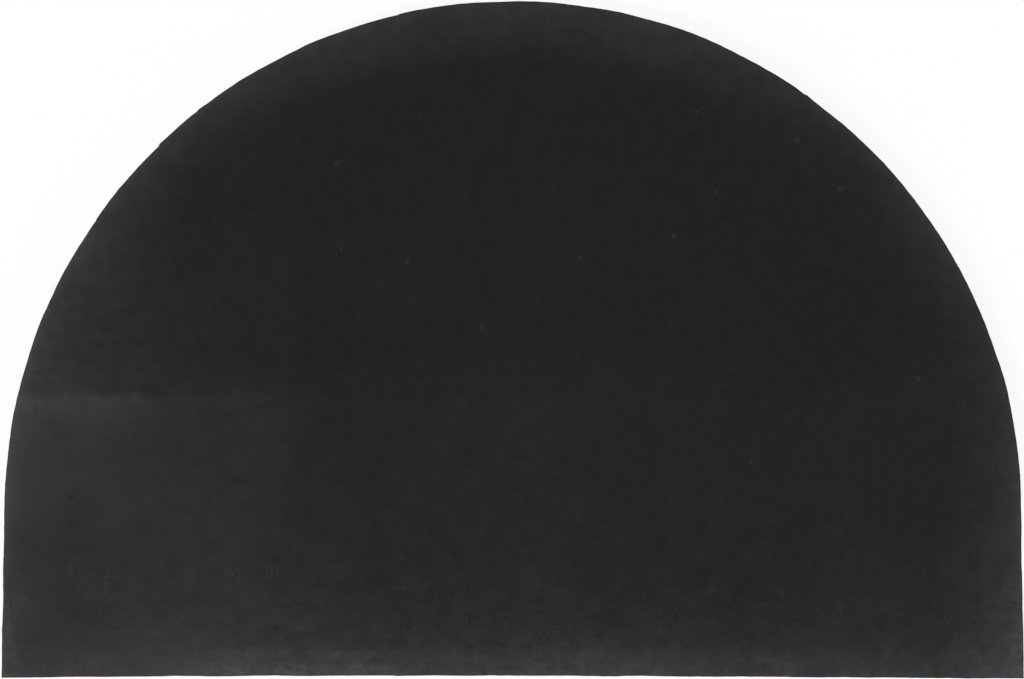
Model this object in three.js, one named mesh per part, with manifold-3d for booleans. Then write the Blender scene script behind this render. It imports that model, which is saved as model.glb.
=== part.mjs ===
// A half-round coir doormat lying pile side down, with its vinyl backing uppermost.
// Lengths are millimetres and +Z is up. X runs along the straight front edge and +Y points
// towards the crown of the arch. The origin is under the middle of the mat, at the pile's tips.

import * as THREE from "three";
import { mergeVertices } from "three/addons/utils/BufferGeometryUtils.js";
import Module from "manifold-3d";

const wasm = await Module();
wasm.setup();

// The mat's plan: a half circle that stands on a short straight-sided strip.
const archRadius = 375;
const sideLength = 123; // from the front edge up to where the arch springs
const cornerFlare = 2.5; // how far each front corner stands out beyond the arch

// The front edge bows: its corners hang lower than its middle.
const frontBow = {
  left: { drop: 1.6, flatness: 3 },
  right: { drop: 2.2, flatness: 1.2 },
};

// The hand-guided cut wanders in and out of the true half circle in slow waves.
const cutWaves = [
  { reach: 0.27, waves: 4, start: 100 },
  { reach: 0.22, waves: 6, start: 42 },
  { reach: 0.15, waves: 12, start: -15 },
];

// The layers, from the floor up.
const matThickness = 15;
const backingThickness = 3;
const bondGap = 0.3; // between the roots of the pile and the backing

// The backing's knife-cut edge is barely rounded.
const backingArris = 0.4;

// The pile stands just inside the backing, and its shorn tips are rounded over at the rim.
const pileInset = 1;
const pileRounding = 2;

const archSteps = 120;
const frontSteps = 20;
const sideSteps = 3;

const vinylBlack = 0x232223;
const coirBrown = 0x9b7645;

// How far the cut strays outwards at an angle round the arch, in degrees from +X.
function cutWander(degrees) {
  return cutWaves.reduce((sum, wave) => {
    const phase = THREE.MathUtils.degToRad(wave.waves * degrees + wave.start);
    return sum + wave.reach * Math.sin(phase);
  }, 0);
}

// A point of the arch, centred on the middle of its springing line.
function archPoint(degrees) {
  const radius = archRadius + cutWander(degrees);
  const angle = THREE.MathUtils.degToRad(degrees);
  return new THREE.Vector2(radius * Math.cos(angle), radius * Math.sin(angle));
}

// A point of the front edge, from -1 at the left corner to 1 at the right one.
function frontPoint(along) {
  const bow = along < 0 ? frontBow.left : frontBow.right;
  const x = along * (archRadius + cornerFlare);
  return new THREE.Vector2(x, -sideLength - bow.drop * Math.abs(along) ** bow.flatness);
}

// Points from one place to another in equal steps, without the last one.
function straightRun(from, to, steps) {
  return Array.from({ length: steps }, (_, i) => from.clone().lerp(to, i / steps));
}

// The mat's cut outline, anticlockwise from its left front corner.
function matOutline() {
  const front = Array.from({ length: frontSteps }, (_, i) => frontPoint((2 * i) / frontSteps - 1));
  const arch = Array.from({ length: archSteps }, (_, i) => archPoint((180 * i) / archSteps));
  return [
    ...front,
    ...straightRun(frontPoint(1), archPoint(0), sideSteps),
    ...arch,
    ...straightRun(archPoint(180), frontPoint(-1), sideSteps),
  ];
}

// A slab of the mat's outline, standing on z = 0, taken in by inset and with both rims rounded.
function roundedSlab(outline, thickness, inset, rounding, segments) {
  const slab = new THREE.ExtrudeGeometry(new THREE.Shape(outline), {
    depth: thickness - 2 * rounding,
    steps: 1,
    bevelThickness: rounding,
    bevelSize: rounding,
    bevelOffset: -rounding - inset,
    bevelSegments: segments,
  });
  return slab.translate(0, 0, rounding);
}

// Carries a closed geometry over to a solid that can be cut.
function solidOf(geometry) {
  const bare = geometry.clone();
  bare.deleteAttribute("normal");
  bare.deleteAttribute("uv");
  const merged = mergeVertices(bare);
  const shell = new wasm.Mesh({
    numProp: 3,
    vertProperties: merged.attributes.position.array,
    triVerts: new Uint32Array(merged.index.array),
  });
  return new wasm.Manifold(shell);
}

function geometryOf(solid) {
  const shell = solid.getMesh();
  const geometry = new THREE.BufferGeometry();
  geometry.setAttribute("position", new THREE.BufferAttribute(shell.vertProperties, 3));
  geometry.setIndex(new THREE.BufferAttribute(shell.triVerts, 1));
  geometry.computeVertexNormals();
  return geometry;
}

// The vinyl sheet that the coir is set in: the mat's upper layer as it lies.
function vinylBacking(outline) {
  const geometry = roundedSlab(outline, backingThickness, 0, backingArris, 2);
  const material = new THREE.MeshStandardMaterial({ color: vinylBlack, roughness: 0.6, metalness: 0 });
  const backing = new THREE.Mesh(geometry, material);
  backing.name = "vinyl_backing";
  backing.position.z = matThickness - backingThickness;
  return backing;
}

// The dense brush of coir under it: rounded at its shorn tips, and cut square at its roots.
function coirPile(outline) {
  const pileLength = matThickness - backingThickness - bondGap;
  const brush = roundedSlab(outline, pileLength + pileRounding, pileInset, pileRounding, 4);
  const spread = 3 * archRadius;
  const belowRoots = new THREE.BoxGeometry(spread, spread, pileLength).translate(0, 0, pileLength / 2);
  const geometry = geometryOf(solidOf(brush).intersect(solidOf(belowRoots)));
  const material = new THREE.MeshStandardMaterial({ color: coirBrown, roughness: 0.95, metalness: 0 });
  const pile = new THREE.Mesh(geometry, material);
  pile.name = "coir_pile";
  return pile;
}

const outline = matOutline();
const mat = new THREE.Group();
mat.add(vinylBacking(outline), coirPile(outline));

// The plan is drawn round the arch's centre, so the mat moves to put its own middle on the origin.
const plan = new THREE.Box2().setFromPoints(outline);
const middle = plan.getCenter(new THREE.Vector2());
mat.position.set(-middle.x, -middle.y, 0);

export default mat;
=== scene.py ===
# A half-round coir doormat lying pile side down, with its black vinyl backing uppermost.
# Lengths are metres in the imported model's frame: X along the straight front edge, Z up.
import math

import bpy
import numpy as np
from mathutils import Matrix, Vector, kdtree


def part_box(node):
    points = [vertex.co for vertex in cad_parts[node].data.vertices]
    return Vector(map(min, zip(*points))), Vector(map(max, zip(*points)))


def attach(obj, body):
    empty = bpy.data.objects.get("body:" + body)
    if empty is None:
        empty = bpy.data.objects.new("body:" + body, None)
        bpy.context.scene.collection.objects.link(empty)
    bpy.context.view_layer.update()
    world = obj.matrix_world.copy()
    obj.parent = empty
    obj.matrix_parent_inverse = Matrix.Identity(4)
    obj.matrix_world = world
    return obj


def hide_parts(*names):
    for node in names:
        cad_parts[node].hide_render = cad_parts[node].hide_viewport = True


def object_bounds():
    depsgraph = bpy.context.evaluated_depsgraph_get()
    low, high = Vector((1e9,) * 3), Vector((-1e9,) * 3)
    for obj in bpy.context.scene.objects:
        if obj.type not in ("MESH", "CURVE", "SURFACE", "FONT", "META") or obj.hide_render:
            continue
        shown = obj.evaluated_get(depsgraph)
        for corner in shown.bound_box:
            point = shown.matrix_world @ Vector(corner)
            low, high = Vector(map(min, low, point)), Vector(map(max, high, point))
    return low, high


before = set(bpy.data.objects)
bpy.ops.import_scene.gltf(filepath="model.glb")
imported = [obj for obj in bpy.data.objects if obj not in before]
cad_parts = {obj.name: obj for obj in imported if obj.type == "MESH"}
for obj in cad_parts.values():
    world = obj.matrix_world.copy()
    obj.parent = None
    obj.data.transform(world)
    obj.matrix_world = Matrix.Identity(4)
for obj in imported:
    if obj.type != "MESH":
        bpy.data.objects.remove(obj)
cadLow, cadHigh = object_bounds()
mm = 0.001
backingLow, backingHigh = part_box("vinyl_backing")


# The camera looks straight down, and the mat fills its view.
cameraSetup = {
    "lens": 100.0,
    "sensor": 36.0,
    "span": 756.0 * mm,  # how much of the backing's face the long side of the view takes in
    "aim": (-0.5 * mm, 0.3 * mm),
    "reach": 60.0,
}


def addCamera():
    away = cameraSetup["span"] * cameraSetup["lens"] / cameraSetup["sensor"]
    bpy.ops.object.camera_add(location=(*cameraSetup["aim"], cadHigh.z + away), rotation=(0, 0, 0))
    camera = bpy.context.object
    camera.name = "overhead"
    camera.data.lens = cameraSetup["lens"]
    camera.data.sensor_width = cameraSetup["sensor"]
    camera.data.clip_end = cameraSetup["reach"]
    bpy.context.scene.camera = camera


addCamera()
print("camera placed")


# One output of a shader node. A sum on wires adds its Math nodes.
class Wire:
    def __init__(self, paint, output):
        self.paint = paint
        self.output = output

    def __add__(self, other):
        return self.paint.maths("ADD", self, other)

    def __sub__(self, other):
        return self.paint.maths("SUBTRACT", self, other)

    def __rsub__(self, other):
        return self.paint.maths("SUBTRACT", other, self)

    def __mul__(self, other):
        return self.paint.maths("MULTIPLY", self, other)

    def __pow__(self, other):
        return self.paint.maths("POWER", self, other)

    __radd__ = __add__
    __rmul__ = __mul__


# Wires the nodes of one material, or of the sky.
class Paint:
    def __init__(self, tree):
        self.tree = tree

    # Settings go on first. Sockets are named or numbered, and each takes a wire or a value.
    def node(self, kind, settings, sockets, output=0):
        made = self.tree.nodes.new(kind)
        for key, value in settings.items():
            if key == "stops":
                self.setStops(made.color_ramp, value)
            else:
                setattr(made, key, value)
        for key, value in sockets.items():
            self.plug(value, made.inputs[key])
        return Wire(self, made.outputs[output])

    def plug(self, value, socket):
        if isinstance(value, Wire):
            self.tree.links.new(value.output, socket)
        else:
            socket.default_value = value

    def setStops(self, ramp, stops):
        while len(ramp.elements) < len(stops):
            ramp.elements.new(1.0)
        for element, (position, colour) in zip(ramp.elements, stops):
            element.position = position
            element.color = (*colour, 1)

    # Plugs values into a node that the tree came with.
    def into(self, nodeName, sockets):
        for name, value in sockets.items():
            self.plug(value, self.tree.nodes[nodeName].inputs[name])

    def finish(self, sockets):
        self.into("Principled BSDF", sockets)

    def place(self):
        return self.node("ShaderNodeTexCoord", {}, {}, "Object")

    def parts(self, vector):
        return [self.node("ShaderNodeSeparateXYZ", {}, {"Vector": vector}, axis) for axis in (0, 1, 2)]

    def maths(self, operation, *values):
        return self.node("ShaderNodeMath", {"operation": operation}, dict(enumerate(values)))

    def vectorMaths(self, operation, sockets, output=0):
        return self.node("ShaderNodeVectorMath", {"operation": operation}, sockets, output)

    def scaled(self, vector, factors):
        return self.vectorMaths("MULTIPLY", {0: vector, 1: factors})

    # Noise from 0 to 1 with lumps of about one size.
    def cloud(self, vector, size, detail=2.0):
        sockets = {"Vector": vector, "Scale": 1 / size, "Detail": detail}
        return self.node("ShaderNodeTexNoise", {}, sockets, 0)

    # A soft rise from 0 at low to 1 at high.
    def rise(self, value, low, high):
        settings = {"interpolation_type": "SMOOTHSTEP"}
        return self.node("ShaderNodeMapRange", settings, {"Value": value, 1: low, 2: high})

    # A soft fall from 1 at low to 0 at high.
    def fall(self, value, low, high):
        return 1 - self.rise(value, low, high)

    # Rises from 0 to 1 over one span of a value, and falls back to 0 over a later one.
    def between(self, value, rising, falling):
        return self.rise(value, *rising) * self.fall(value, *falling)

    # Fades from 1 at nothing, by a factor of e for each reach.
    def fade(self, value, reach):
        return self.maths("EXPONENT", value * (-1 / reach))

    def ramp(self, value, stops):
        return self.node("ShaderNodeValToRGB", {"stops": stops}, {"Fac": value})

    def mix(self, factor, first, second):
        first, second = ((*each, 1) if isinstance(each, tuple) else each for each in (first, second))
        return self.node("ShaderNodeMix", {"data_type": "RGBA"}, {0: factor, 6: first, 7: second}, 2)

    # How far off the nearest point is, in cells, and the lot drawn by that point.
    def cells(self, vector, cell, dimensions):
        settings, sockets = {"voronoi_dimensions": dimensions}, {"Vector": vector, "Scale": 1 / cell}
        near = self.node("ShaderNodeTexVoronoi", settings, sockets, 0)
        lot = self.node("ShaderNodeTexVoronoi", settings, sockets, 1)
        return near, self.node("ShaderNodeSeparateColor", {}, {0: lot}, 0)

    # Scattered round spots on the plan: 1 in the middle of each and 0 past its edge. A share of
    # the cells holds one, each up to the radius.
    def spots(self, vector, cell, radius, share, softness=0.8):
        near, lot = self.cells(vector, cell, "2D")
        size = (lot - (1 - share)) * (radius / cell / share)
        return self.rise(size - near, 0.0, softness * radius / cell)

    # Height is in metres.
    def relief(self, height):
        bump = self.node("ShaderNodeBump", {}, {"Height": height, "Distance": 1.0})
        self.finish({"Normal": bump})


def newMaterial(name, roughness, specular):
    material = bpy.data.materials.new(name)
    material.use_nodes = True
    paint = Paint(material.node_tree)
    paint.finish({"Roughness": roughness, "Specular IOR Level": specular})
    return material, paint


# The plan is filled by columns and rows of faces between four sides: the front edge, the right
# side, the crown and the left side. The upper corners lie on the arch's shoulders.
planSetup = {
    "wallReach": 0.4,  # the cut's points lie this near mid-thickness, as a share of the thickness
    "decimals": 7,  # points that are alike to this many are one
    "columns": 312,
    "rows": 180,
    "crownShare": 0.46,  # of the way from the crown to a front corner
    "cutPoints": 5000,  # how many points distances to the cut are measured from
    "seed": 5,
    "wobbles": [(60 * mm, 0.14 * mm), (16 * mm, 0.04 * mm), (5 * mm, 0.02 * mm)],  # length, reach
    "wavesEach": 12,  # how many waves make up a wobble
    "waveSpread": (0.6, 1.6),  # how many turns they make, as a share of what the length gives
    "liftRun": (0.9, 2.5),  # degrees over which the knife strays and then comes back
    "lifts": [  # where the knife was lifted: degrees round the arch, and how far it strayed
        (55, 0.30 * mm),
        (103, 0.22 * mm),
        (128, 0.28 * mm),
        (134, 0.55 * mm),
        (145, 0.25 * mm),
    ],
}


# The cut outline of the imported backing, anticlockwise from its left front corner.
def cutOutline():
    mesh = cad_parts["vinyl_backing"].data
    points = np.empty(len(mesh.vertices) * 3)
    mesh.vertices.foreach_get("co", points)
    points = points.reshape(-1, 3)
    middle, thickness = (backingLow.z + backingHigh.z) / 2, backingHigh.z - backingLow.z
    onWall = abs(points[:, 2] - middle) < planSetup["wallReach"] * thickness
    ring = np.unique(points[onWall][:, :2].round(planSetup["decimals"]), axis=0)
    ring = ring[np.argsort(np.arctan2(ring[:, 1], ring[:, 0]))]
    return np.roll(ring, -np.argmin(ring.sum(axis=1)), axis=0)


def closed(ring):
    return np.vstack([ring, ring[:1]])


def lengthsAlong(path):
    return np.concatenate([[0], np.linalg.norm(np.diff(path, axis=0), axis=1).cumsum()])


def atLengths(path, lengths, values=None):
    values = path if values is None else values
    return np.stack([np.interp(lengths, lengthsAlong(path), values[:, i]) for i in (0, 1)], axis=1)


def evenly(path, steps):
    return atLengths(path, np.linspace(0, lengthsAlong(path)[-1], steps + 1))


# Outward directions round an anticlockwise ring. They are longer at a corner, so that moving
# along them moves both its sides by the same distance.
def outwards(ring):
    before, after = ring - np.roll(ring, 1, axis=0), np.roll(ring, -1, axis=0) - ring
    before /= np.linalg.norm(before, axis=1, keepdims=True)
    after /= np.linalg.norm(after, axis=1, keepdims=True)
    normal = np.column_stack([before[:, 1] + after[:, 1], -before[:, 0] - after[:, 0]])
    normal /= np.linalg.norm(normal, axis=1, keepdims=True)
    square = np.column_stack([before[:, 1], -before[:, 0]])
    return normal / (normal * square).sum(axis=1, keepdims=True)


# The four sides of the plan, each from left to right or from the front to the crown.
def planSides(ring, columns, rows):
    corner = np.argmax(ring[:, 0] - ring[:, 1])
    front, rest = ring[: corner + 1], closed(ring)[corner:]
    total = lengthsAlong(rest)[-1]
    shoulders = total / 2 * (1 + planSetup["crownShare"] * np.array([-1, 1]))
    right = atLengths(rest, np.linspace(0, shoulders[0], rows + 1))
    crown = atLengths(rest, np.linspace(*shoulders, columns + 1))
    left = atLengths(rest, np.linspace(shoulders[1], total, rows + 1))
    return evenly(front, columns), right, crown[::-1], left[::-1]


# Such sides joined into one anticlockwise ring.
def ringOf(sides):
    front, right, crown, left = sides
    return np.vstack([front[:-1], right[:-1], crown[:0:-1], left[:0:-1]])


# The sides that such a ring was joined from.
def sidesOf(ring, columns, rows):
    path = closed(ring)
    shoulder = columns + rows
    front, right = path[: columns + 1], path[columns : shoulder + 1]
    crown, left = path[shoulder : shoulder + columns + 1], path[shoulder + columns :]
    return front, right, crown[::-1], left[::-1]


# Rows of places spread evenly between the four sides.
def fillPlan(sides):
    front, right, crown, left = sides
    u = np.linspace(0, 1, len(front))[None, :, None]
    v = np.linspace(0, 1, len(left))[:, None, None]
    upwards = (1 - v) * front[None] + v * crown[None]
    across = (1 - u) * left[:, None] + u * right[:, None]
    lower = (1 - u) * front[0] + u * front[-1]
    upper = (1 - u) * crown[0] + u * crown[-1]
    return upwards + across - (1 - v) * lower - v * upper


def addPiece(name, points, faces):
    mesh = bpy.data.meshes.new(name)
    mesh.from_pydata(points, [], faces)
    piece = bpy.data.objects.new(name, mesh)
    bpy.context.scene.collection.objects.link(piece)
    bpy.ops.object.select_all(action="DESELECT")
    piece.select_set(True)
    bpy.context.view_layer.objects.active = piece
    return piece


def addMap(piece, corners):
    layer = piece.data.uv_layers.new(name="OFBake")
    layer.uv.foreach_set("vector", corners)


# On a slab's map the face fills most of the square, and the wall and the back lie in strips
# below it.
mapSetup = {
    "margin": 0.002,
    "faceFoot": 0.200,
    "wallTop": 0.196,
    "wallHeight": 0.090,
    "backTop": 0.100,
}


# Where the corners of a slab's face, walls and back lie on its map.
def slabMap(ring, faceCorners, walls):
    margin, faceFoot = mapSetup["margin"], mapSetup["faceFoot"]
    width = 1 - 2 * margin
    low, size = ring.min(axis=0), np.ptp(ring, axis=0)
    maps = [(margin, faceFoot) + (faceCorners - low) / size * (width, 1 - margin - faceFoot)]
    turns = np.arange(len(ring))[:, None] + (0, 0, 1, 1)
    for wall in range(walls):
        depths = (wall + np.array([0, 1, 1, 0])) / walls + np.zeros(turns.shape)
        heights = mapSetup["wallTop"] - mapSetup["wallHeight"] * depths
        maps.append(np.stack([margin + width * turns / len(ring), heights], axis=-1))
    backMap = margin + (ring - low) / size * (width, mapSetup["backTop"] - margin)
    return np.concatenate(maps), backMap


# A closed slab with a finely gridded face. From the face's rim a list of rings, each an inset and
# a height, leads to its flat back.
def addSlab(name, ring, columns, rows, steps):
    normal, around = outwards(ring), len(ring)
    index = np.arange((columns + 1) * (rows + 1)).reshape(rows + 1, columns + 1)
    quads = [index[:-1, :-1], index[:-1, 1:], index[1:, 1:], index[1:, :-1]]
    faces = [np.stack(quads, axis=-1).reshape(-1, 4)]
    grid = fillPlan(sidesOf(ring - normal * steps[0][0], columns, rows)).reshape(-1, 2)
    maps, backMap = slabMap(ring, grid[faces[0]], len(steps) - 1)
    points = [np.column_stack([grid, np.full(len(grid), steps[0][1])])]
    upper = np.concatenate([index[0, :-1], index[:-1, -1], index[-1, :0:-1], index[:0:-1, 0]])
    for step, (inset, height) in enumerate(steps[1:]):
        lower = len(grid) + step * around + np.arange(around)
        points.append(np.column_stack([ring - normal * inset, np.full(around, height)]))
        faces.append(np.stack([upper, lower, np.roll(lower, -1), np.roll(upper, -1)], axis=-1))
        upper = lower
    faces, back = np.concatenate(faces), np.arange(around)[::-1]
    if steps[0][1] < steps[-1][1]:  # the face looks down
        faces, maps, back = faces[:, ::-1], maps[:, ::-1], back[::-1]
    piece = addPiece(name, np.vstack(points), faces.tolist() + [upper[back].tolist()])
    addMap(piece, np.concatenate([maps.ravel(), backMap[back].ravel()]))
    return piece, grid


# The steps of a rim that is rounded over from its face to its wall, which leads down or up.
def roundedRim(inset, height, rounding, way):
    return [
        (inset + inwards * rounding, height + way * along * rounding)
        for inwards, along in ((1, 0), (0.3, 0.3), (0, 1))
    ]


# Pushes the vertices of a group up and down by soft clouds.
def ruffle(piece, group, size, reach):
    clouds = bpy.data.textures.new(group, "CLOUDS")
    clouds.noise_scale = size
    push = piece.modifiers.new("ruffle", "DISPLACE")
    push.texture = clouds
    push.direction = "Z"
    push.strength = reach
    push.vertex_group = group
    bpy.ops.object.modifier_apply(modifier=push.name)


def addGroup(piece, name, weights):
    group = piece.vertex_groups.new(name=name)
    for i, weight in enumerate(weights.tolist()):
        group.add([i], weight, "REPLACE")


def distanceTo(ring, points):
    cut = evenly(closed(ring), planSetup["cutPoints"])
    tree = kdtree.KDTree(len(cut))
    for i, (x, y) in enumerate(cut):
        tree.insert((x, y, 0), i)
    tree.balance()
    return np.array([tree.find((x, y, 0))[2] for x, y in points])


# Random swells round a closed path, of about one length and reach.
def swells(rng, lengths, total, swell, reach):
    count = planSetup["wavesEach"]
    turns = np.rint(total / swell * rng.uniform(*planSetup["waveSpread"], count))
    phases = rng.uniform(0, 2 * np.pi, count)
    waves = np.sin(2 * np.pi * np.outer(lengths / total, turns) + phases)
    return reach * waves.sum(axis=1) / math.sqrt(count / 2)


planRing = ringOf(planSides(cutOutline(), planSetup["columns"], planSetup["rows"]))
print("outline read:", len(planRing), "points")


# The vinyl backing.
backingSetup = {
    "arris": 0.45 * mm,
    "unevenness": (110 * mm, 0.6 * mm),  # size and reach
    "lumps": (9 * mm, 0.16 * mm),
    "stiffRim": 14 * mm,  # the face stays flat this near the cut
    "smoothAngle": 0.7,  # in radians
}


# The knife wandered a little as it cut, and where it was lifted it left a small step.
def wanderingCut(ring):
    rng = np.random.default_rng(planSetup["seed"])
    lengths = lengthsAlong(closed(ring))
    drift = sum(swells(rng, lengths[:-1], lengths[-1], *wobble) for wobble in planSetup["wobbles"])
    springing = cadHigh.y - (cadHigh.x - cadLow.x) / 2
    angles = np.degrees(np.arctan2(ring[:, 1] - springing, ring[:, 0]))
    straying, comingBack = planSetup["liftRun"]
    for lift, reach in planSetup["lifts"]:
        past = angles - lift
        drift += reach * np.where(past < 0, np.exp(past / straying), -np.exp(-past / comingBack))
    return ring + outwards(ring) * drift[:, None]


def makeBacking():
    top, bottom, arris = backingHigh.z, backingLow.z, backingSetup["arris"]
    steps = [
        *roundedRim(0, top, arris, -1),
        (0, (top + bottom) / 2),
        (0, bottom + arris),
        (arris, bottom),
    ]
    cut = wanderingCut(planRing)
    piece, grid = addSlab("backing", cut, planSetup["columns"], planSetup["rows"], steps)
    fromCut = distanceTo(cut, grid)
    addGroup(piece, "face", np.clip(fromCut / backingSetup["stiffRim"], 0, 1))
    ruffle(piece, "face", *backingSetup["unevenness"])
    ruffle(piece, "face", *backingSetup["lumps"])
    piece.vertex_groups.clear()
    reading = piece.data.attributes.new("fromCut", "FLOAT", "POINT")
    onWall = np.zeros(len(piece.data.vertices) - len(grid))
    reading.data.foreach_set("value", np.concatenate([fromCut, onWall]))
    bpy.ops.object.shade_smooth_by_angle(angle=backingSetup["smoothAngle"])
    return piece


# Vinyl: black, with a grey bloom and a painted sheen that gather round the rim and in the front left
# quarter.
vinylSetup = {
    "bloomAndSheenTones": [  # from clean black to full bloom and painted sheen
        (0.00, (0.0090, 0.0071, 0.0075)),
        (0.03, (0.0106, 0.0085, 0.0094)),
        (0.06, (0.0122, 0.0100, 0.0123)),
        (0.13, (0.0162, 0.0140, 0.0172)),
        (0.18, (0.0190, 0.0169, 0.0197)),
        (0.21, (0.0196, 0.0191, 0.0206)),
        (0.25, (0.0214, 0.0210, 0.0229)),
        (0.45, (0.0326, 0.0320, 0.0352)),
        (1.00, (0.0600, 0.0600, 0.0654)),
    ],
    "dust": (0.175, 0.150, 0.112),
    # the colour of painted shade, in dents and pits and at the cut
    "paintedShadeColour": (0.0035, 0.0030, 0.0034),
    "roughness": 0.68,
    "specular": 0.10,
    "bloomAndSheenRoughness": 0.1,  # how much rougher it is at full bloom and painted sheen
    "bloomAndSheenAt": {"cut": 0.14, "crown": 0.11, "front": 0.13, "left": 0.10},  # how strong it is there
    "wideClouds": 95 * mm,  # sizes of the clouds that make the bloom and painted sheen uneven
    "softClouds": 24 * mm,
    "mottles": (10 * mm, 0.20),  # size and strength
    "flecks": (4.5 * mm, 0.34),
    "rimReach": 20 * mm,  # how far the bloom and painted sheen reach in from the cut
    "lineReach": 2.6 * mm,  # the same for the brighter line at the cut itself, a painted highlight
    "bandReach": 15 * mm,  # the same for the band along the front edge
    "crease": 19.5 * mm,  # how far from the front edge a faint crease runs
    "patchTop": -41 * mm,  # where the front left patch of bloom and painted sheen ends in a straight line
    "cutShade": (0.6, 0.5 * mm),  # strength and reach of the painted shade at the cut
    "pebbles": (5.5 * mm, 0.06 * mm),  # size and height
    "grain": (0.9 * mm, 0.007 * mm),
    "strokePitch": 2.2 * mm,  # between the strokes of a group of scuffs
    "specks": [  # pale specks, painted highlights on the black: their places, and half of their widths and heights
        (-65 * mm, 169 * mm, 1.0 * mm, 1.6 * mm),
        (-127 * mm, 133 * mm, 1.8 * mm, 2.2 * mm),
        (-75 * mm, 61 * mm, 1.2 * mm, 2.0 * mm),
        (-20 * mm, 12 * mm, 1.0 * mm, 3.0 * mm),
        (139 * mm, 171 * mm, 2.0 * mm, 1.2 * mm),
        (153 * mm, 112 * mm, 1.0 * mm, 1.6 * mm),
        (213 * mm, 151 * mm, 1.0 * mm, 2.2 * mm),
        (245 * mm, 114 * mm, 2.2 * mm, 1.0 * mm),
    ],
    "scuffs": [  # the same for groups of short strokes from front to back
        (-325 * mm, -168 * mm, 4 * mm, 5 * mm),
        (-316 * mm, -183 * mm, 6 * mm, 9 * mm),
        (-301 * mm, -178 * mm, 4 * mm, 10 * mm),
        (-307 * mm, -239 * mm, 11 * mm, 8 * mm),
        (-176 * mm, -170 * mm, 3 * mm, 6 * mm),
        (68 * mm, -232 * mm, 6 * mm, 5 * mm),
        (203 * mm, -240 * mm, 3.5 * mm, 14 * mm),
        (243 * mm, -198 * mm, 3 * mm, 6 * mm),
        (320 * mm, -205 * mm, 4 * mm, 5 * mm),
    ],
    "dusty": [  # the same for coir dust, in the corners and along the front edge
        (-376 * mm, -238 * mm, 10 * mm, 28 * mm),
        (-209 * mm, -243 * mm, 16 * mm, 5.5 * mm),
        (-161 * mm, -243 * mm, 13 * mm, 4.5 * mm),
        (-108 * mm, -244 * mm, 26 * mm, 4 * mm),
        (375 * mm, -232 * mm, 7 * mm, 15 * mm),
    ],
}


# Marks scattered over the vinyl: factors on the plan, which make them longer where they are below
# 1, the size of the cells, the largest radius, and the share of the cells that hold a mark.
scatterSetup = {
    "dents": ((1, 1, 1), 14 * mm, 5.0 * mm, 0.60),
    "nibs": ((1, 0.6, 1), 61 * mm, 2.2 * mm, 0.50),
    "pits": ((0.8, 1.1, 1), 43 * mm, 3.0 * mm, 0.70),
    "levelTicks": ((0.55, 1, 1), 7 * mm, 3.0 * mm, 0.60),
    "uprightTicks": ((1, 0.5, 1), 7.5 * mm, 2.8 * mm, 0.42),
}

# What each mark does: how far it adds to the bloom and painted sheen, takes the colour to a painted
# highlight at the tone of full bloom or to painted shade in a hollow, or covers it with dust, and how
# high it stands, or how deep it is sunk.
markSetup = {
    "dents": {"paintedShade": 0.12, "height": -0.38 * mm},
    "nibs": {"paintedHighlight": 0.20, "height": 0.25 * mm},
    "pits": {"paintedShade": 0.35, "height": -0.25 * mm},
    "ticks": {"bloomAndSheen": 0.08, "height": 0.55 * mm},
    "scuffs": {"bloomAndSheen": 0.18, "height": 0.05 * mm},
    "dustPatches": {"dust": 0.08},
    "dustSpecks": {"dust": 0.14},
    "dustFilm": {"dust": 0.035},
}


# The wires that tell where on the backing a colour is read.
class BackingPlace:
    def __init__(self, paint):
        self.place = paint.place()
        self.x, self.y, _ = paint.parts(self.place)
        self.toLeft = self.x * -1
        self.fromCut = paint.node("ShaderNodeAttribute", {"attribute_name": "fromCut"}, {}, "Fac")
        self.fromFront = self.y - cadLow.y
        self.leftHand = paint.rise(self.toLeft, 50 * mm, 360 * mm)
        self.rightHand = paint.rise(self.x, 20 * mm, 160 * mm)
        self.nearFront = paint.fall(self.fromFront, 50 * mm, 135 * mm)
        self.wide = paint.cloud(self.place, vinylSetup["wideClouds"])
        self.soft = paint.cloud(self.place, vinylSetup["softClouds"])


# Soft ovals on the plan, listed as in vinylSetup: 1 in the middle of each, and fading outwards.
def ovalsAt(paint, place, ovals):
    nearest = 9.0  # in radii, where nothing is left of an oval
    for right, up, halfWidth, halfHeight in ovals:
        scale = (1 / halfWidth, 1 / halfHeight, 0)
        shift = (-right / halfWidth, -up / halfHeight, 0)
        offset = paint.vectorMaths("MULTIPLY_ADD", {0: place, 1: scale, 2: shift})
        away = paint.vectorMaths("LENGTH", {0: offset}, "Value")
        nearest = paint.maths("MINIMUM", away, nearest)
    return paint.fade(nearest * nearest, 1.0)


# The bloom and painted sheen round the cut, and the wider one at the crown.
def rimBloomAndSheen(paint, at):
    ragged = at.fromCut + 9 * mm * (at.soft - 0.5)
    rim = paint.fade(ragged, vinylSetup["rimReach"])
    # The brighter line right at the cut is a painted highlight.
    rim = vinylSetup["bloomAndSheenAt"]["cut"] * (rim + paint.fade(at.fromCut, vinylSetup["lineReach"]))
    lowRight = paint.rise(at.x, 310 * mm, 370 * mm) * paint.rise(at.y * -1, -60 * mm, 120 * mm)
    farRight = 0.55 * paint.rise(at.x, 220 * mm, 280 * mm) - 0.65 * paint.rise(at.x, 310 * mm, 360 * mm)
    rim = rim * (1 + 0.85 * at.leftHand + farRight - 0.2 * at.rightHand + 0.3 * lowRight)
    thinner = paint.between(at.fromFront, (40 * mm, 80 * mm), (90 * mm, 140 * mm))
    upwards = 0.3 + 0.7 * paint.rise(at.fromFront, 4 * mm, 50 * mm)
    rim = rim * (upwards - 0.25 * thinner + 0.5 * lowRight)
    crown = paint.fall(ragged, 22 * mm, 46 * mm) * paint.rise(at.y, 140 * mm, 220 * mm)
    return rim, vinylSetup["bloomAndSheenAt"]["crown"] * crown
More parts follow.
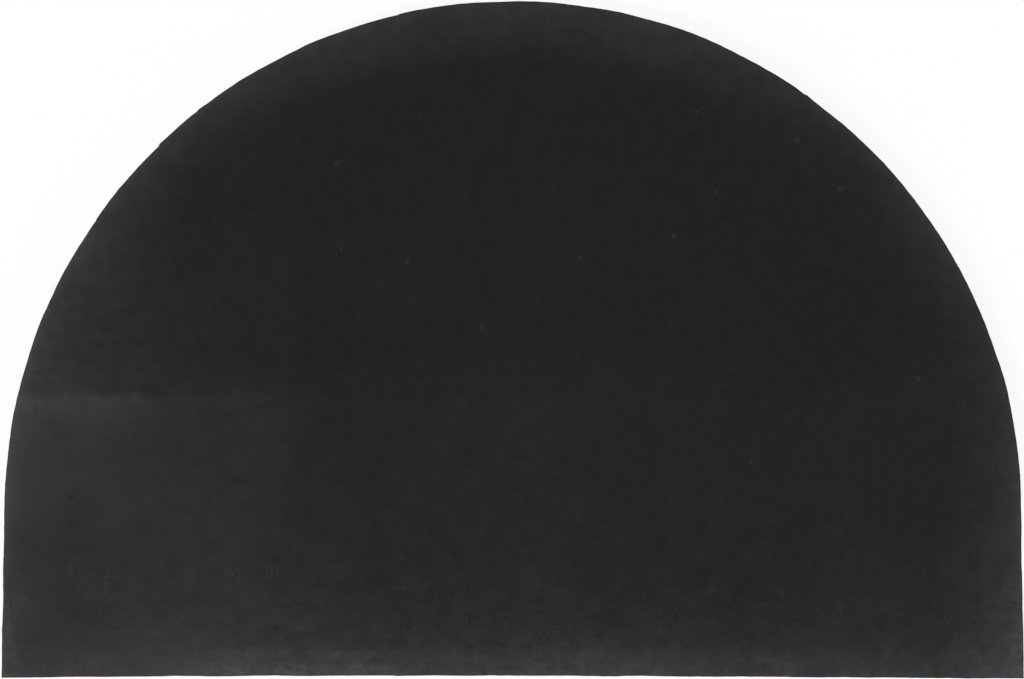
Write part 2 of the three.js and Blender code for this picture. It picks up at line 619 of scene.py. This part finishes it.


# The band along the front edge, and all the bloom and painted sheen there with it.
def frontBloomAndSheen(paint, at):
    reach, crease = vinylSetup["bandReach"], vinylSetup["crease"]
    ragged = at.fromFront + 13 * mm * (at.soft - 0.5)
    band = paint.fade(ragged, reach) + 0.3 * paint.fall(ragged, reach, 26 * mm)
    fading = 0.46 * at.rightHand + 0.66 * paint.rise(at.toLeft, 170 * mm, 260 * mm)
    puffs = paint.cloud(at.place, 8 * mm)
    band = band * (0.21 + 0.37 * at.wide) * (1 - fading) * (0.55 + 0.9 * puffs)
    lowLeft = paint.between(at.toLeft, (100 * mm, 150 * mm), (180 * mm, 240 * mm))
    spread = vinylSetup["bloomAndSheenAt"]["front"] - 0.02 * at.rightHand + 0.08 * lowLeft
    spread = spread + 0.24 * paint.rise(at.x, 310 * mm, 370 * mm)
    corner = 0.06 * paint.rise(at.x, 300 * mm, 360 * mm) * paint.fall(at.fromFront, 25 * mm, 55 * mm)

    # Inside the crease, which comes and goes, the band is paler.
    creased = paint.between(at.toLeft, (60 * mm, 90 * mm), (260 * mm, 290 * mm))
    creased = creased * paint.fall(at.fromFront, crease, crease + 1.2 * mm)
    comes = paint.rise(paint.cloud(paint.scaled(at.place, (0.2, 1, 1)), 9 * mm), 0.40, 0.56)
    lip = paint.rise(at.fromFront, crease - 2 * mm, crease)
    creased = creased * (0.01 + 0.09 * comes * lip)
    return band, band + paint.fade(at.fromFront, 80 * mm) * spread + corner + creased


# The bloom and painted sheen on the left, and the patch that a straight line ends.
def leftBloomAndSheen(paint, at, below):
    step = 0.03 * paint.rise(at.toLeft, 155 * mm, 175 * mm) * paint.fall(at.y, 50 * mm, 100 * mm)
    left = step + vinylSetup["bloomAndSheenAt"]["left"] * paint.rise(at.toLeft, 210 * mm, 330 * mm)
    left = left * (0.2 + 0.8 * paint.rise(at.fromFront, 70 * mm, 175 * mm))
    strength = 0.04 + 0.06 * paint.rise(at.toLeft, 120 * mm, 240 * mm)
    strength = strength - 0.02 * paint.rise(at.x, -50 * mm, 120 * mm)
    streak = 0.24 * paint.fade(below, 14 * mm) * paint.rise(at.toLeft, 240 * mm, 290 * mm)
    patch = paint.rise(below, -4 * mm, 6 * mm) * (0.5 * strength + streak)
    patch = patch + 0.5 * strength * paint.rise(below, -32 * mm, 0)
    paler = paint.between(at.toLeft, (180 * mm, 230 * mm), (290 * mm, 330 * mm))
    return left + patch + 0.05 * paler * paint.rise(below, 25 * mm, 90 * mm)


# Faint mottling, strongest towards the front edge and calmer in the patch: mottled tone, partly painted
# light and shade of small lumps.
def mottlingOver(paint, at, below):
    stronger = paint.fall(at.fromFront, 60 * mm, 150 * mm)
    calmer = at.leftHand * paint.rise(below, 0, 30 * mm)
    (mottleSize, mottling), (fleckSize, flecking) = vinylSetup["mottles"], vinylSetup["flecks"]
    mottles = paint.rise(paint.cloud(at.place, mottleSize), 0.36, 0.64) - 0.5
    mottles = mottles * (mottling + 0.03 * stronger - 0.12 * calmer)
    flecks = paint.cloud(at.place, fleckSize) - 0.5
    flecks = flecks * (flecking + 0.12 * stronger - 0.22 * calmer)
    upright = (paint.cloud(paint.scaled(at.place, (1, 0.12, 1)), 2.2 * mm) - 0.5) * at.leftHand
    middle = paint.rise(at.wide, 0.42, 0.66) + paint.fade(at.x * at.x + at.y * at.y, 0.008)
    return 1 + mottles + flecks + 0.12 * upright + 0.10 * middle


# How far the black has bloomed, with painted sheen, at each place, from 0 to 1, and how light or dark
# it is mottled, partly with painted light and shade of small lumps.
def bloomAndSheenOver(paint, at):
    below = vinylSetup["patchTop"] - at.y + 3 * mm * (at.soft - 0.5)
    rim, crown = rimBloomAndSheen(paint, at)
    band, front = frontBloomAndSheen(paint, at)
    streaks = (paint.cloud(paint.scaled(at.place, (0.1, 1, 1)), 3.5 * mm) - 0.5) * band
    bloomAndSheen = rim + crown + front + leftBloomAndSheen(paint, at, below)
    bloomAndSheen = bloomAndSheen * (0.75 + 0.5 * at.soft) + 0.7 * streaks
    return bloomAndSheen, mottlingOver(paint, at, below) - 0.8 * crown


# Scuffs in groups near the front edge, made of short strokes from front to back.
def scuffsOver(paint, at):
    strokes = paint.cloud(paint.scaled(at.place, (1, 0.22, 1)), 2.4 * mm, 1.0)
    combed = paint.maths("SINE", at.x * (2 * math.pi / vinylSetup["strokePitch"]))
    strokes = paint.rise(strokes + 0.20 * combed, 0.56, 0.72)
    return strokes * paint.rise(ovalsAt(paint, at.place, vinylSetup["scuffs"]), 0.15, 0.60)


# Coir dust: patches of it, specks along the front edge and a film at the cut.
def dustOver(paint, at):
    patches = paint.rise(ovalsAt(paint, at.place, vinylSetup["dusty"]), 0.05, 0.60)
    patches = patches * (0.3 + paint.rise(paint.cloud(at.place, 5 * mm), 0.35, 0.65))
    specks = paint.rise(paint.cloud(at.place, 2.2 * mm, 1.0), 0.64, 0.72)
    specks = specks * paint.fade(at.fromFront, 7 * mm)
    film = paint.fade(at.fromCut, 14 * mm) * paint.rise(at.fromFront, 8 * mm, 40 * mm)
    return {"dustPatches": patches, "dustSpecks": specks, "dustFilm": film}


# All the marks, each from 0 to about 1. Dents and ticks gather in clusters towards the front.
def marksOver(paint, at):
    # Places stray a little, so that the marks come out irregular.
    strayed = paint.node("ShaderNodeTexNoise", {}, {"Vector": at.place, "Scale": 1 / (3 * mm)}, 1)
    strayed = paint.scaled(strayed, (6 * mm, 5 * mm, 0))
    strayed = paint.vectorMaths("ADD", {0: at.place, 1: strayed})
    scattered = {
        name: paint.spots(paint.scaled(strayed, factors), *sizes)
        for name, (factors, *sizes) in scatterSetup.items()
    }
    clusters = paint.rise(paint.cloud(at.place, 30 * mm), 0.36, 0.56) * at.nearFront
    clusters = clusters * (0.25 + 0.75 * paint.rise(at.fromFront, 12 * mm, 32 * mm))
    crowd = 0.06 + 0.94 * clusters
    return {
        "dents": scattered["dents"] * crowd,
        "nibs": scattered["nibs"] + ovalsAt(paint, strayed, vinylSetup["specks"]),
        "pits": scattered["pits"],
        "ticks": (scattered["levelTicks"] + scattered["uprightTicks"]) * crowd,
        "scuffs": scuffsOver(paint, at),
        **dustOver(paint, at),
    }


# One effect of all the marks that have it, added up.
def effectOf(marks, effect):
    return sum(markSetup[name][effect] * marks[name] for name in marks if effect in markSetup[name])


def vinylFinish():
    setup = vinylSetup
    material, paint = newMaterial("vinylFinish", setup["roughness"], setup["specular"])
    at = BackingPlace(paint)
    bloomAndSheen, mottled = bloomAndSheenOver(paint, at)
    marks = marksOver(paint, at)
    shadeStrength, shadeReach = setup["cutShade"]

    colour = paint.ramp(bloomAndSheen + effectOf(marks, "bloomAndSheen"), setup["bloomAndSheenTones"])
    # Mottling scales the colour: mottled tone, partly painted light and shade of small lumps.
    colour = paint.vectorMaths("SCALE", {0: colour, "Scale": mottled})
    # Nibs and specks turn pale: painted highlights, at the tone of full bloom.
    colour = paint.mix(effectOf(marks, "paintedHighlight"), colour, setup["bloomAndSheenTones"][-1][1])
    # Dents and pits darken: painted shade in their hollows.
    colour = paint.mix(effectOf(marks, "paintedShade"), colour, setup["paintedShadeColour"])
    colour = paint.mix(effectOf(marks, "dust"), colour, setup["dust"])
    # A dark line right at the cut: painted shade where the edge rounds away.
    colour = paint.mix(shadeStrength * paint.fade(at.fromCut, shadeReach), colour, setup["paintedShadeColour"])
    roughness = setup["roughness"] + setup["bloomAndSheenRoughness"] * bloomAndSheen
    paint.finish({"Base Color": colour, "Roughness": roughness})

    # Pebbling that weakens away from the front edge, grain and the marks.
    (pebble, pebbleHeight), (grain, grainHeight) = setup["pebbles"], setup["grain"]
    pebbles = pebbleHeight * paint.cloud(at.place, pebble, 1.0) * (0.5 + 0.5 * at.nearFront)
    grains = grainHeight * paint.cloud(at.place, grain, 1.0)
    paint.relief(pebbles + grains + effectOf(marks, "height"))
    return material


# The cut wall of the vinyl: drag marks down it, and specks of severed fibre.
cutSetup = {
    "clean": (0.010, 0.009, 0.0095),
    "dragged": (0.055, 0.053, 0.055),
    "severed": (0.16, 0.10, 0.05),
    "roughness": 0.75,
    "specular": 0.15,
    "drag": (0.8 * mm, 0.25 * mm),  # size and height
    "patches": (6 * mm, 0.10 * mm),
    "specks": 1.1 * mm,
}


def cutFinish():
    material, paint = newMaterial("vinylCut", cutSetup["roughness"], cutSetup["specular"])
    place = paint.place()
    (dragSize, dragHeight), (patchSize, patchHeight) = cutSetup["drag"], cutSetup["patches"]
    drag = paint.cloud(paint.scaled(place, (1, 1, 0.05)), dragSize)
    patchy = paint.cloud(place, patchSize)
    specks = paint.rise(paint.cloud(place, cutSetup["specks"], 1.0), 0.62, 0.72)
    colour = paint.mix(0.7 * drag * patchy, cutSetup["clean"], cutSetup["dragged"])
    colour = paint.mix(0.4 * specks, colour, cutSetup["severed"])
    paint.finish({"Base Color": colour})
    paint.relief(dragHeight * drag + patchHeight * patchy)
    return material


# The coir pile: a tufted bed, loose fibres all over its face and a deep fringe round its rim.
pileSetup = {
    "columns": 230,
    "rows": 132,
    "inset": 5.4 * mm,
    "rounding": 1.6 * mm,
    "level": 2.7 * mm,  # the bed's face stands this far above the tips
    "tufts": (7 * mm, 3.2 * mm),
    "nubs": (3.2 * mm, 1.6 * mm),
}


def makePileBed():
    setup = pileSetup
    inset, rounding, level = setup["inset"], setup["rounding"], setup["level"]
    roots = backingLow.z
    steps = [
        *roundedRim(inset, level, rounding, 1),
        (inset, (level + roots) / 2),
        (inset, roots),
    ]
    sides = sidesOf(planRing, planSetup["columns"], planSetup["rows"])
    counts = [setup["columns"], setup["rows"]] * 2
    ring = ringOf([evenly(side, count) for side, count in zip(sides, counts)])
    piece, grid = addSlab("pile_bed", ring, setup["columns"], setup["rows"], steps)
    addGroup(piece, "face", np.ones(len(grid)))
    ruffle(piece, "face", *setup["tufts"])
    ruffle(piece, "face", *setup["nubs"])
    piece.vertex_groups.clear()
    bpy.ops.object.shade_smooth()
    return piece


fibreSetup = {
    "seed": 11,
    "thin": 0.13 * mm,  # radii
    "thick": 0.27 * mm,
    "tipTaper": 0.72,  # a tip's radius as a share of its root's
    "toneSpread": (2.3, 2.1),  # the two numbers of a beta distribution
    "mapWidth": 0.004,
    "mapMargin": 0.03,
    "capMiddle": 0.02,  # how far a cap lies from the foot or the top of the map
    "capHalf": 0.01,
}


# Where the corners of the fibres' walls and caps lie on their map. There a fibre stands upright at
# its tone, so fibres of one tone lie over each other.
def fibreMap(tones, levels):
    half, margin = fibreSetup["mapWidth"] / 2, fibreSetup["mapMargin"]
    heights = np.linspace(margin, 1 - margin, levels)
    walls = np.empty((len(tones), levels - 1, 3, 4, 2))
    walls[..., 0] = tones[:, None, None, None] + np.array([-half, -half, half, half])
    walls[..., 1] = np.stack([heights[:-1], heights[1:], heights[1:], heights[:-1]], axis=-1)[:, None]

    middle, up = fibreSetup["capMiddle"], fibreSetup["capHalf"]
    caps = np.empty((2, len(tones), 3, 2))
    caps[..., 0] = tones[:, None] + np.array([-half, 0, half])
    caps[..., 1] = np.array([middle, 1 - middle])[:, None, None] + np.array([-up, up, -up])
    return np.concatenate([walls.ravel(), caps.ravel()])


# A three-sided fibre through each row of stations, from root to tip, with both ends closed.
def addFibres(name, stations, radii, turns, tones):
    count, levels = stations.shape[:2]
    angles = turns[:, None] + np.arange(3) * 2 * np.pi / 3
    about = np.stack([np.cos(angles), np.sin(angles), np.zeros_like(angles)], axis=-1)
    points = stations[:, :, None] + about[:, None] * radii[:, :, None, None]
    corner = np.arange(count * levels * 3).reshape(count, levels, 3)
    beside = np.roll(corner, -1, axis=2)
    walls = np.stack([corner[:, :-1], corner[:, 1:], beside[:, 1:], beside[:, :-1]], axis=-1)
    caps = np.concatenate([corner[:, 0], corner[:, -1, ::-1]])
    piece = addPiece(name, points.reshape(-1, 3), walls.reshape(-1, 4).tolist() + caps.tolist())
    addMap(piece, fibreMap(tones, levels))
    bpy.ops.object.shade_smooth()
    return piece


def randomFibres(rng, stations):
    count, levels = stations.shape[:2]
    width = rng.uniform(fibreSetup["thin"], fibreSetup["thick"], count)
    taper = np.linspace(1, fibreSetup["tipTaper"], levels)
    margin = fibreSetup["mapMargin"]
    tones = margin + (1 - 2 * margin) * rng.beta(*fibreSetup["toneSpread"], count)
    return width[:, None] * taper, rng.uniform(0, 2 * np.pi, count), tones


# Fibres standing in rows just inside the cut, from the vinyl down to the floor.
rimSetup = {
    "rows": 7,
    "pitch": 0.62 * mm,  # along a row
    "step": 0.66 * mm,  # from row to row
    "stray": (-0.2, 0.3),  # how far out of its row a fibre stands, in steps
    "inset": 1.15 * mm,  # from the cut to the outermost row
    "rootDepth": 0.5 * mm,  # how far a root goes up into the vinyl
    "lean": 0.55 * mm,
    "splay": 0.1,  # how far outwards they lean on average, as a share of the lean
    "inFromCut": 0.45 * mm,  # how near the cut a tip may come
    "kink": 0.2 * mm,
    "bendAcross": (0.2, 0.8),  # where it bends across, as a share of the way from root to tip
    "bendDown": (0.35, 0.65),  # the same for how far down it bends
    "clearance": 0.15 * mm,  # between the tips and the floor
    "rounding": 1.6 * mm,  # how much shorter the outermost fibres are
    "roundFrom": 0.6 * mm,  # how far in from the cut the fibres start to be longer
    "roundRun": 2.2 * mm,  # and how much further in they are at their longest
    "unshorn": (1.6, 0.28 * mm),  # how unevenly they are shorn: shape and scale
}


def rimStations(rng):
    setup = rimSetup
    path = closed(planRing)
    total = lengthsAlong(path)[-1]
    each = int(total / setup["pitch"])
    rowsOf = np.repeat(np.arange(setup["rows"]), each)
    count = len(rowsOf)
    lengths = (np.tile(np.arange(each), setup["rows"]) + rng.uniform(0, 1, count)) * total / each
    inset = setup["inset"] + (rowsOf + rng.uniform(*setup["stray"], count)) * setup["step"]
    cut, normal = atLengths(path, lengths), atLengths(path, lengths, closed(outwards(planRing)))
    along = np.column_stack([-normal[:, 1], normal[:, 0]])

    root = cut - normal * inset[:, None]
    outward = rng.normal(setup["splay"], 1, count) * setup["lean"]
    outward = np.minimum(outward, inset - setup["inFromCut"])
    sideways = rng.normal(0, 1, count) * setup["lean"]
    tip = root + normal * outward[:, None] + along * sideways[:, None]
    bend = root + (tip - root) * rng.uniform(*setup["bendAcross"], (count, 1))
    bend += along * rng.normal(0, setup["kink"], (count, 1))

    rounded = 1 - np.clip((inset - outward - setup["roundFrom"]) / setup["roundRun"], 0, 1)
    tipHeight = setup["clearance"] + setup["rounding"] * rounded**2
    tipHeight += rng.gamma(*setup["unshorn"], count)
    rootHeight = np.full(count, backingLow.z + setup["rootDepth"])
    bendHeight = rootHeight + (tipHeight - rootHeight) * rng.uniform(*setup["bendDown"], count)
    flat = np.stack([root, bend, tip], axis=1)
    heights = np.stack([rootHeight, bendHeight, tipHeight], axis=1)
    return np.concatenate([flat, heights[..., None]], axis=2)


# A point is inside where a line to its right crosses the ring an odd number of times.
def inside(ring, points):
    path = closed(ring)
    x, y = points[:, :1], points[:, 1:]
    x0, y0, x1, y1 = path[:-1, 0], path[:-1, 1], path[1:, 0], path[1:, 1]
    spans = (y0 <= y) != (y1 <= y)
    rise = np.where(y1 == y0, 1, y1 - y0)
    return ((spans & (x < x0 + (y - y0) / rise * (x1 - x0))).sum(axis=1) % 2).astype(bool)


# Fibre ends that stand out of the bed, leaning together in tufts.
faceSetup = {
    "pitch": 2.75 * mm,
    "stray": 0.28,  # of the pitch
    "inset": 5.6 * mm,  # from the cut
    "rootDepth": 2.2 * mm,  # how far a root goes up into the bed
    "lean": 1.3 * mm,
    "tuftSizes": (9 * mm, 17 * mm, 40 * mm),
    "withTuft": 0.45,  # how much a fibre leans with its tuft, and how much on its own
    "onItsOwn": 0.7,
    "clearance": 0.12 * mm,
    "unshorn": (2.0, 0.35 * mm),
}


def faceStations(rng):
    setup = faceSetup
    pitch = setup["pitch"]
    across = np.arange(cadLow.x, cadHigh.x, pitch)
    upwards = np.arange(cadLow.y, cadHigh.y, pitch * math.sqrt(0.75))  # as in a honeycomb
    columns, rows = np.meshgrid(across, upwards)
    columns[1::2] += pitch / 2
    places = np.column_stack([columns.ravel(), rows.ravel()])
    places += rng.normal(0, setup["stray"] * pitch, places.shape)
    places = places[inside(cutOutline(), places)]
    places = places[distanceTo(planRing, places) > setup["inset"]]

    lean = np.zeros_like(places)
    for size in setup["tuftSizes"]:
        for axis in (0, 1):
            heading = rng.uniform(0, 2 * np.pi)
            turn = places @ (np.cos(heading), np.sin(heading)) * 2 * np.pi / size
            lean[:, axis] += np.sin(turn + rng.uniform(0, 2 * np.pi))
    lean = setup["withTuft"] * lean + rng.normal(0, setup["onItsOwn"], lean.shape)
    rootHeight = np.full(len(places), pileSetup["level"] + setup["rootDepth"])
    tipHeight = setup["clearance"] + rng.gamma(*setup["unshorn"], len(places))
    roots = np.column_stack([places, rootHeight])
    tips = np.column_stack([places + lean * setup["lean"], tipHeight])
    return np.stack([roots, tips], axis=1)


# Each half of the mat has its own piece, which keeps the pieces light.
def makeFibres(name, rng, stations):
    radii, turns, tones = randomFibres(rng, stations)
    left = stations[:, 0, 0] < 0
    halves = {"left": left, "right": ~left}
    return [
        addFibres(f"{name}_{side}", stations[those], radii[those], turns[those], tones[those])
        for side, those in halves.items()
    ]


coirSetup = {
    "tones": [  # from dark husk to pale straw
        (0.0, (0.055, 0.028, 0.013)),
        (0.3, (0.180, 0.098, 0.040)),
        (0.6, (0.370, 0.225, 0.100)),
        (0.85, (0.540, 0.365, 0.180)),
        (1.0, (0.680, 0.530, 0.320)),
    ],
    # the colour of painted shade deep among the fibres and in the bed's hollows
    "shade": (0.03, 0.016, 0.008),
    "roughness": 0.72,
    "specular": 0.3,
}


# Fibres read their map: across it runs from dark husk to pale straw, and up it from root to tip, with
# painted shade towards the roots.
def fibreFinish():
    material, paint = newMaterial("coirFibre", coirSetup["roughness"], coirSetup["specular"])
    onMap = paint.node("ShaderNodeTexCoord", {}, {}, "UV")
    tone, up, _ = paint.parts(onMap)
    streaked = tone + 0.10 * (paint.cloud(paint.scaled(onMap, (60, 5, 1)), 1.0, 1.0) - 0.5)
    colour = paint.ramp(streaked, coirSetup["tones"])
    # Darker towards the roots: painted shade.
    paint.finish({"Base Color": paint.mix(0.45 * (1 - up) ** 1.5, colour, coirSetup["shade"])})
    return material


# The bed shows fibre ends on its face and streaks of fibre down its sides, with painted shade in its
# hollows and between the fibre ends.
bedSetup = {
    "roughness": 0.85,
    "specular": 0.2,
    "ends": (0.75 * mm, 0.35 * mm),  # size, and how far they fall away to their edges
    "clumps": (3 * mm, 0.6 * mm),  # size and height
    "hollows": (2.0 * mm, 4.6 * mm),  # how far above the tips the hollows with painted shade start, and are darkest
}


def bedFinish():
    material, paint = newMaterial("coirBed", bedSetup["roughness"], bedSetup["specular"])
    (endSize, endHeight), (clumpSize, clumpHeight) = bedSetup["ends"], bedSetup["clumps"]
    place = paint.place()
    _, _, height = paint.parts(place)
    strands = paint.scaled(place, (1, 1, 0.06))
    near, lot = paint.cells(strands, endSize, "3D")
    clumps = paint.cloud(strands, clumpSize)
    colour = paint.ramp(0.12 + 0.75 * lot + 0.45 * (clumps - 0.5), coirSetup["tones"])
    # Painted shade, deeper up in the hollows and in the gaps between fibre ends.
    hollowShade = 0.55 * paint.rise(height, *bedSetup["hollows"]) + 0.5 * paint.rise(near, 0.35, 0.75)
    paint.finish({"Base Color": paint.mix(0.08 + 0.85 * hollowShade, colour, coirSetup["shade"])})
    paint.relief(clumpHeight * clumps - endHeight * near)
    return material


def dress(piece, slot, *materials):
    for material in materials:
        piece.data.materials.append(material)
    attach(piece, "root")


backing = makeBacking()
dress(backing, "vinyl", vinylFinish(), cutFinish())
for wallFace in list(backing.data.polygons)[planSetup["columns"] * planSetup["rows"] :]:
    wallFace.material_index = 1
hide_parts("vinyl_backing")
print("backing made:", len(backing.data.polygons), "faces")

pileBed = makePileBed()
dress(pileBed, "coir", bedFinish())
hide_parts("coir_pile")
print("pile bed made:", len(pileBed.data.polygons), "faces")

fibreRandom = np.random.default_rng(fibreSetup["seed"])
coir = fibreFinish()
for fringe in [
    *makeFibres("coir_rim", fibreRandom, rimStations(fibreRandom)),
    *makeFibres("coir_face", fibreRandom, faceStations(fibreRandom)),
]:
    dress(fringe, "coir", coir)
    print(fringe.name, "made:", len(fringe.data.polygons), "faces")


# A plain white studio: a floor that keeps the mat's shadow, soft suns and an even sky.
studioSetup = {
    "floorSize": 40.0,
    "floorColour": (0.96, 0.96, 0.96, 1),
    "floorRoughness": 0.9,
    "floorGlow": 0.90,  # how much of the floor that the camera sees is plain white
    "sky": 0.52,
    "sunPlace": (0, 0, 3),  # only where the suns are drawn, since their light is the same anywhere
    "suns": [  # direction round from the front, height and spread in degrees, and strength
        {"name": "keySun", "round": -52, "height": 42, "spread": 28, "strength": 1.8},
        {"name": "fillSun", "round": 128, "height": 60, "spread": 60, "strength": 0.35},
    ],
}


# The rays that meet plain white: those of sight, and those of mirrors and glass.
def seenRays(paint):
    kinds = ("Is Camera Ray", "Is Glossy Ray", "Is Transmission Ray")
    sight, mirror, glass = [paint.node("ShaderNodeLightPath", {}, {}, kind) for kind in kinds]
    return paint.maths("MAXIMUM", paint.maths("MAXIMUM", sight, mirror), glass)


def addFloor():
    bpy.ops.object.select_all(action="DESELECT")
    bpy.ops.mesh.primitive_plane_add(size=studioSetup["floorSize"], location=(0, 0, cadLow.z))
    floor = bpy.context.object
    floor.name = "floor"
    material, paint = newMaterial("studioFloor", studioSetup["floorRoughness"], 0.0)
    paint.finish({"Base Color": studioSetup["floorColour"]})
    lit = Wire(paint, paint.tree.nodes["Principled BSDF"].outputs[0])
    glow = paint.node("ShaderNodeEmission", {}, {})
    share = seenRays(paint) * studioSetup["floorGlow"]
    blend = paint.node("ShaderNodeMixShader", {}, {0: share, 1: lit, 2: glow})
    paint.into("Material Output", {"Surface": blend})
    floor.data.materials.append(material)


def lightStudio():
    world = bpy.data.worlds.new("studioSky")
    world.use_nodes = True
    bpy.context.scene.world = world
    paint = Paint(world.node_tree)
    white = {"Color": (1, 1, 1, 1)}
    sky = paint.node("ShaderNodeBackground", {}, {**white, "Strength": studioSetup["sky"]})
    seen = paint.node("ShaderNodeBackground", {}, white)
    blend = paint.node("ShaderNodeMixShader", {}, {0: seenRays(paint), 1: sky, 2: seen})
    paint.into("World Output", {"Surface": blend})
    for sun in studioSetup["suns"]:
        tilt, turn = math.radians(90 - sun["height"]), math.radians(sun["round"])
        place = studioSetup["sunPlace"]
        bpy.ops.object.light_add(type="SUN", location=place, rotation=(tilt, 0, turn))
        lamp = bpy.context.object
        lamp.name = sun["name"]
        lamp.data.energy = sun["strength"]
        lamp.data.angle = math.radians(sun["spread"])


addFloor()
lightStudio()
bpy.context.scene.view_settings.view_transform = "Standard"
print("studio lit")
